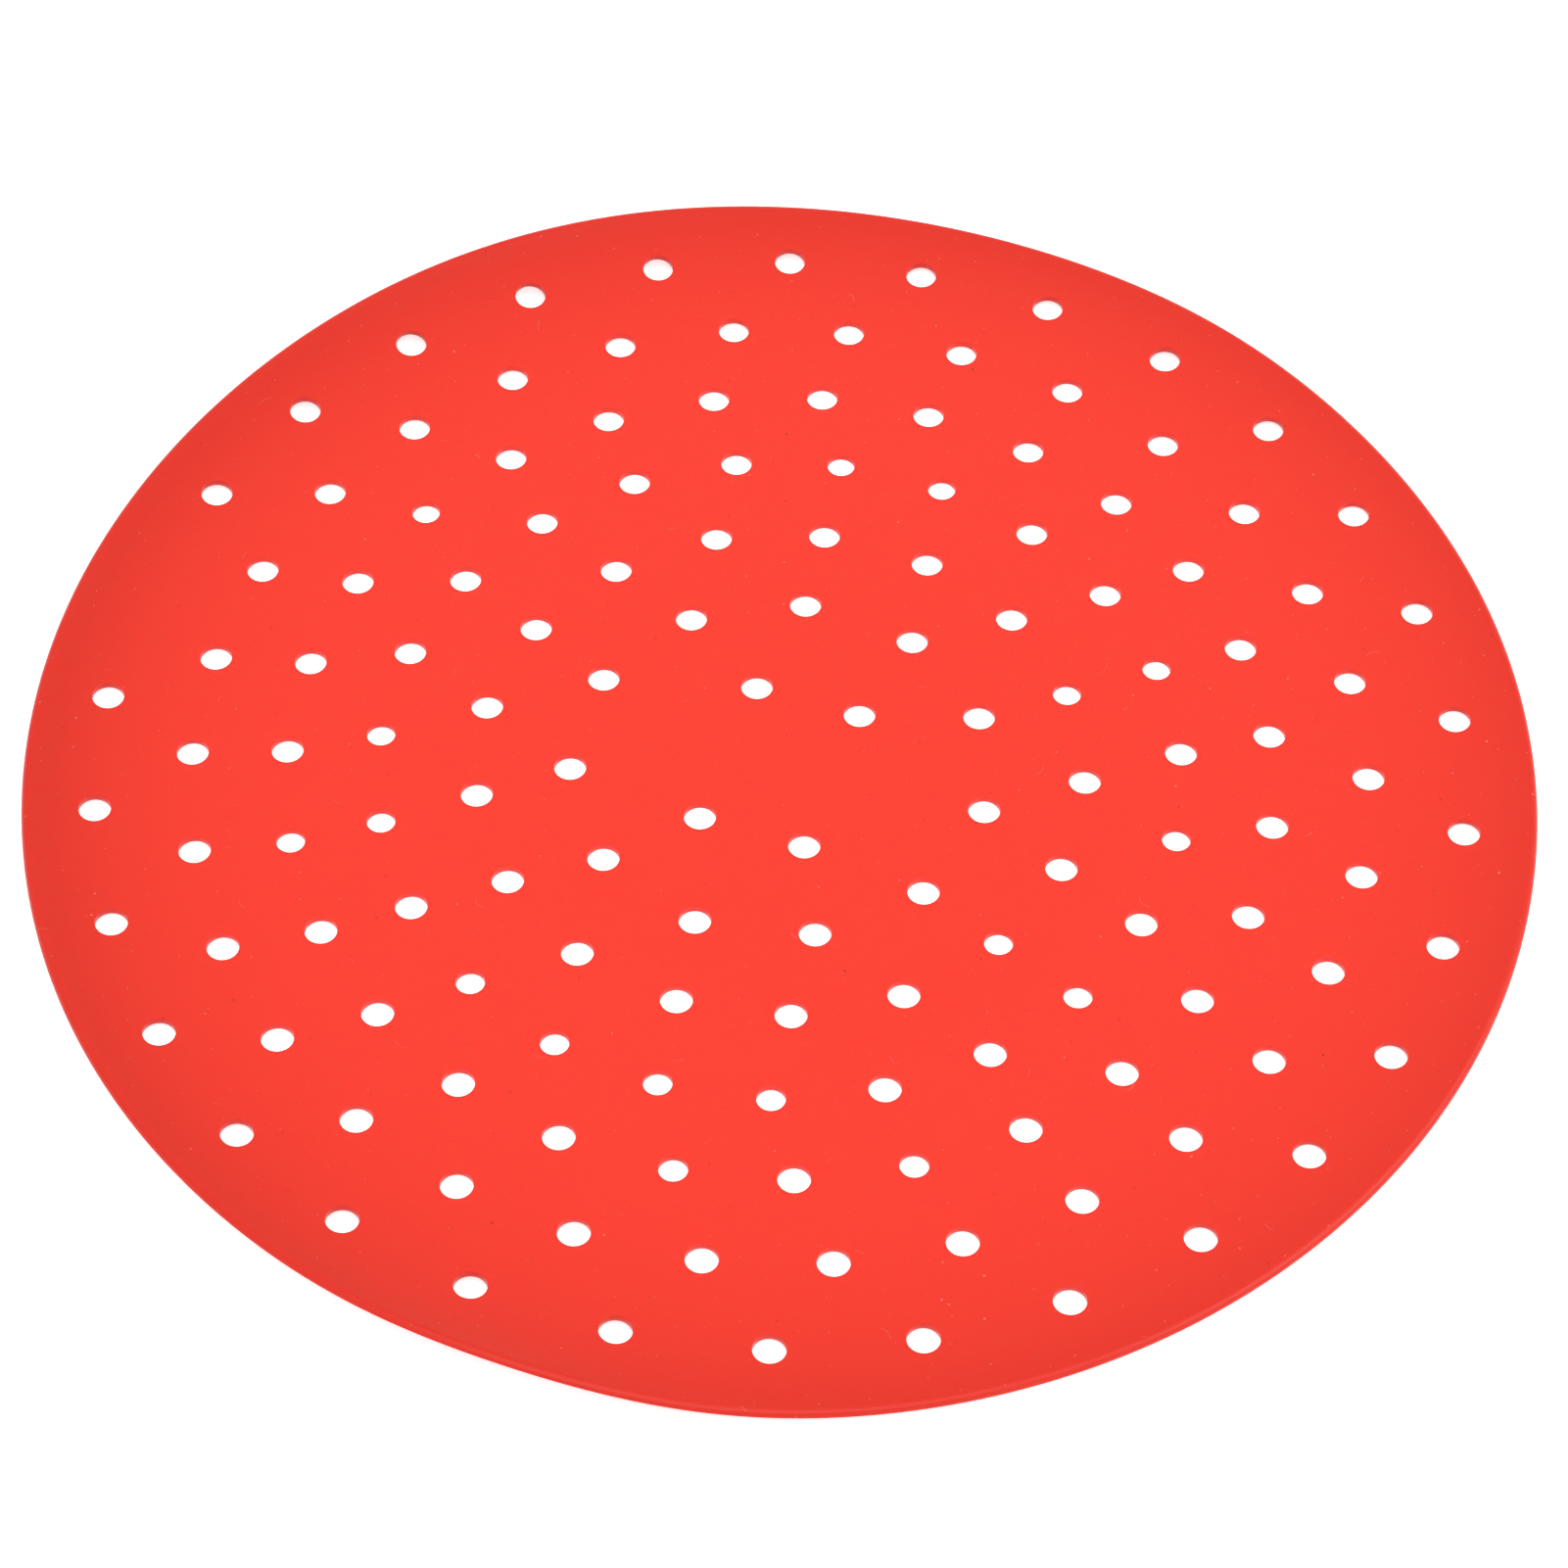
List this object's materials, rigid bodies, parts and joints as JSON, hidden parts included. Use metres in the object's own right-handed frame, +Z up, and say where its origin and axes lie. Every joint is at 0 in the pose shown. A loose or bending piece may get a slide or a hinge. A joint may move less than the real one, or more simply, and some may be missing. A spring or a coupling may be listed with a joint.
{
  "type": "silicone steamer liner",
  "caption": "Flat round silicone sheet with rings of small steam holes and a rounded upper edge, laid in a steamer so that food doesn't stick while steam passes through.",
  "frame": {"origin": "centre of the underside, on the surface that the liner lies on", "axes": "+Z up through the sheet, from the underside to the food side; +X to the right and +Y away from the viewer in the picture's view"},
  "size_m": [0.23, 0.23, 0.0012],
  "materials": {
    "red_silicone": "satin moulded silicone rubber, opaque red"
  },
  "bodies": {
    "root": {"perforated_mat": "red_silicone"}
  },
  "joints": []
}
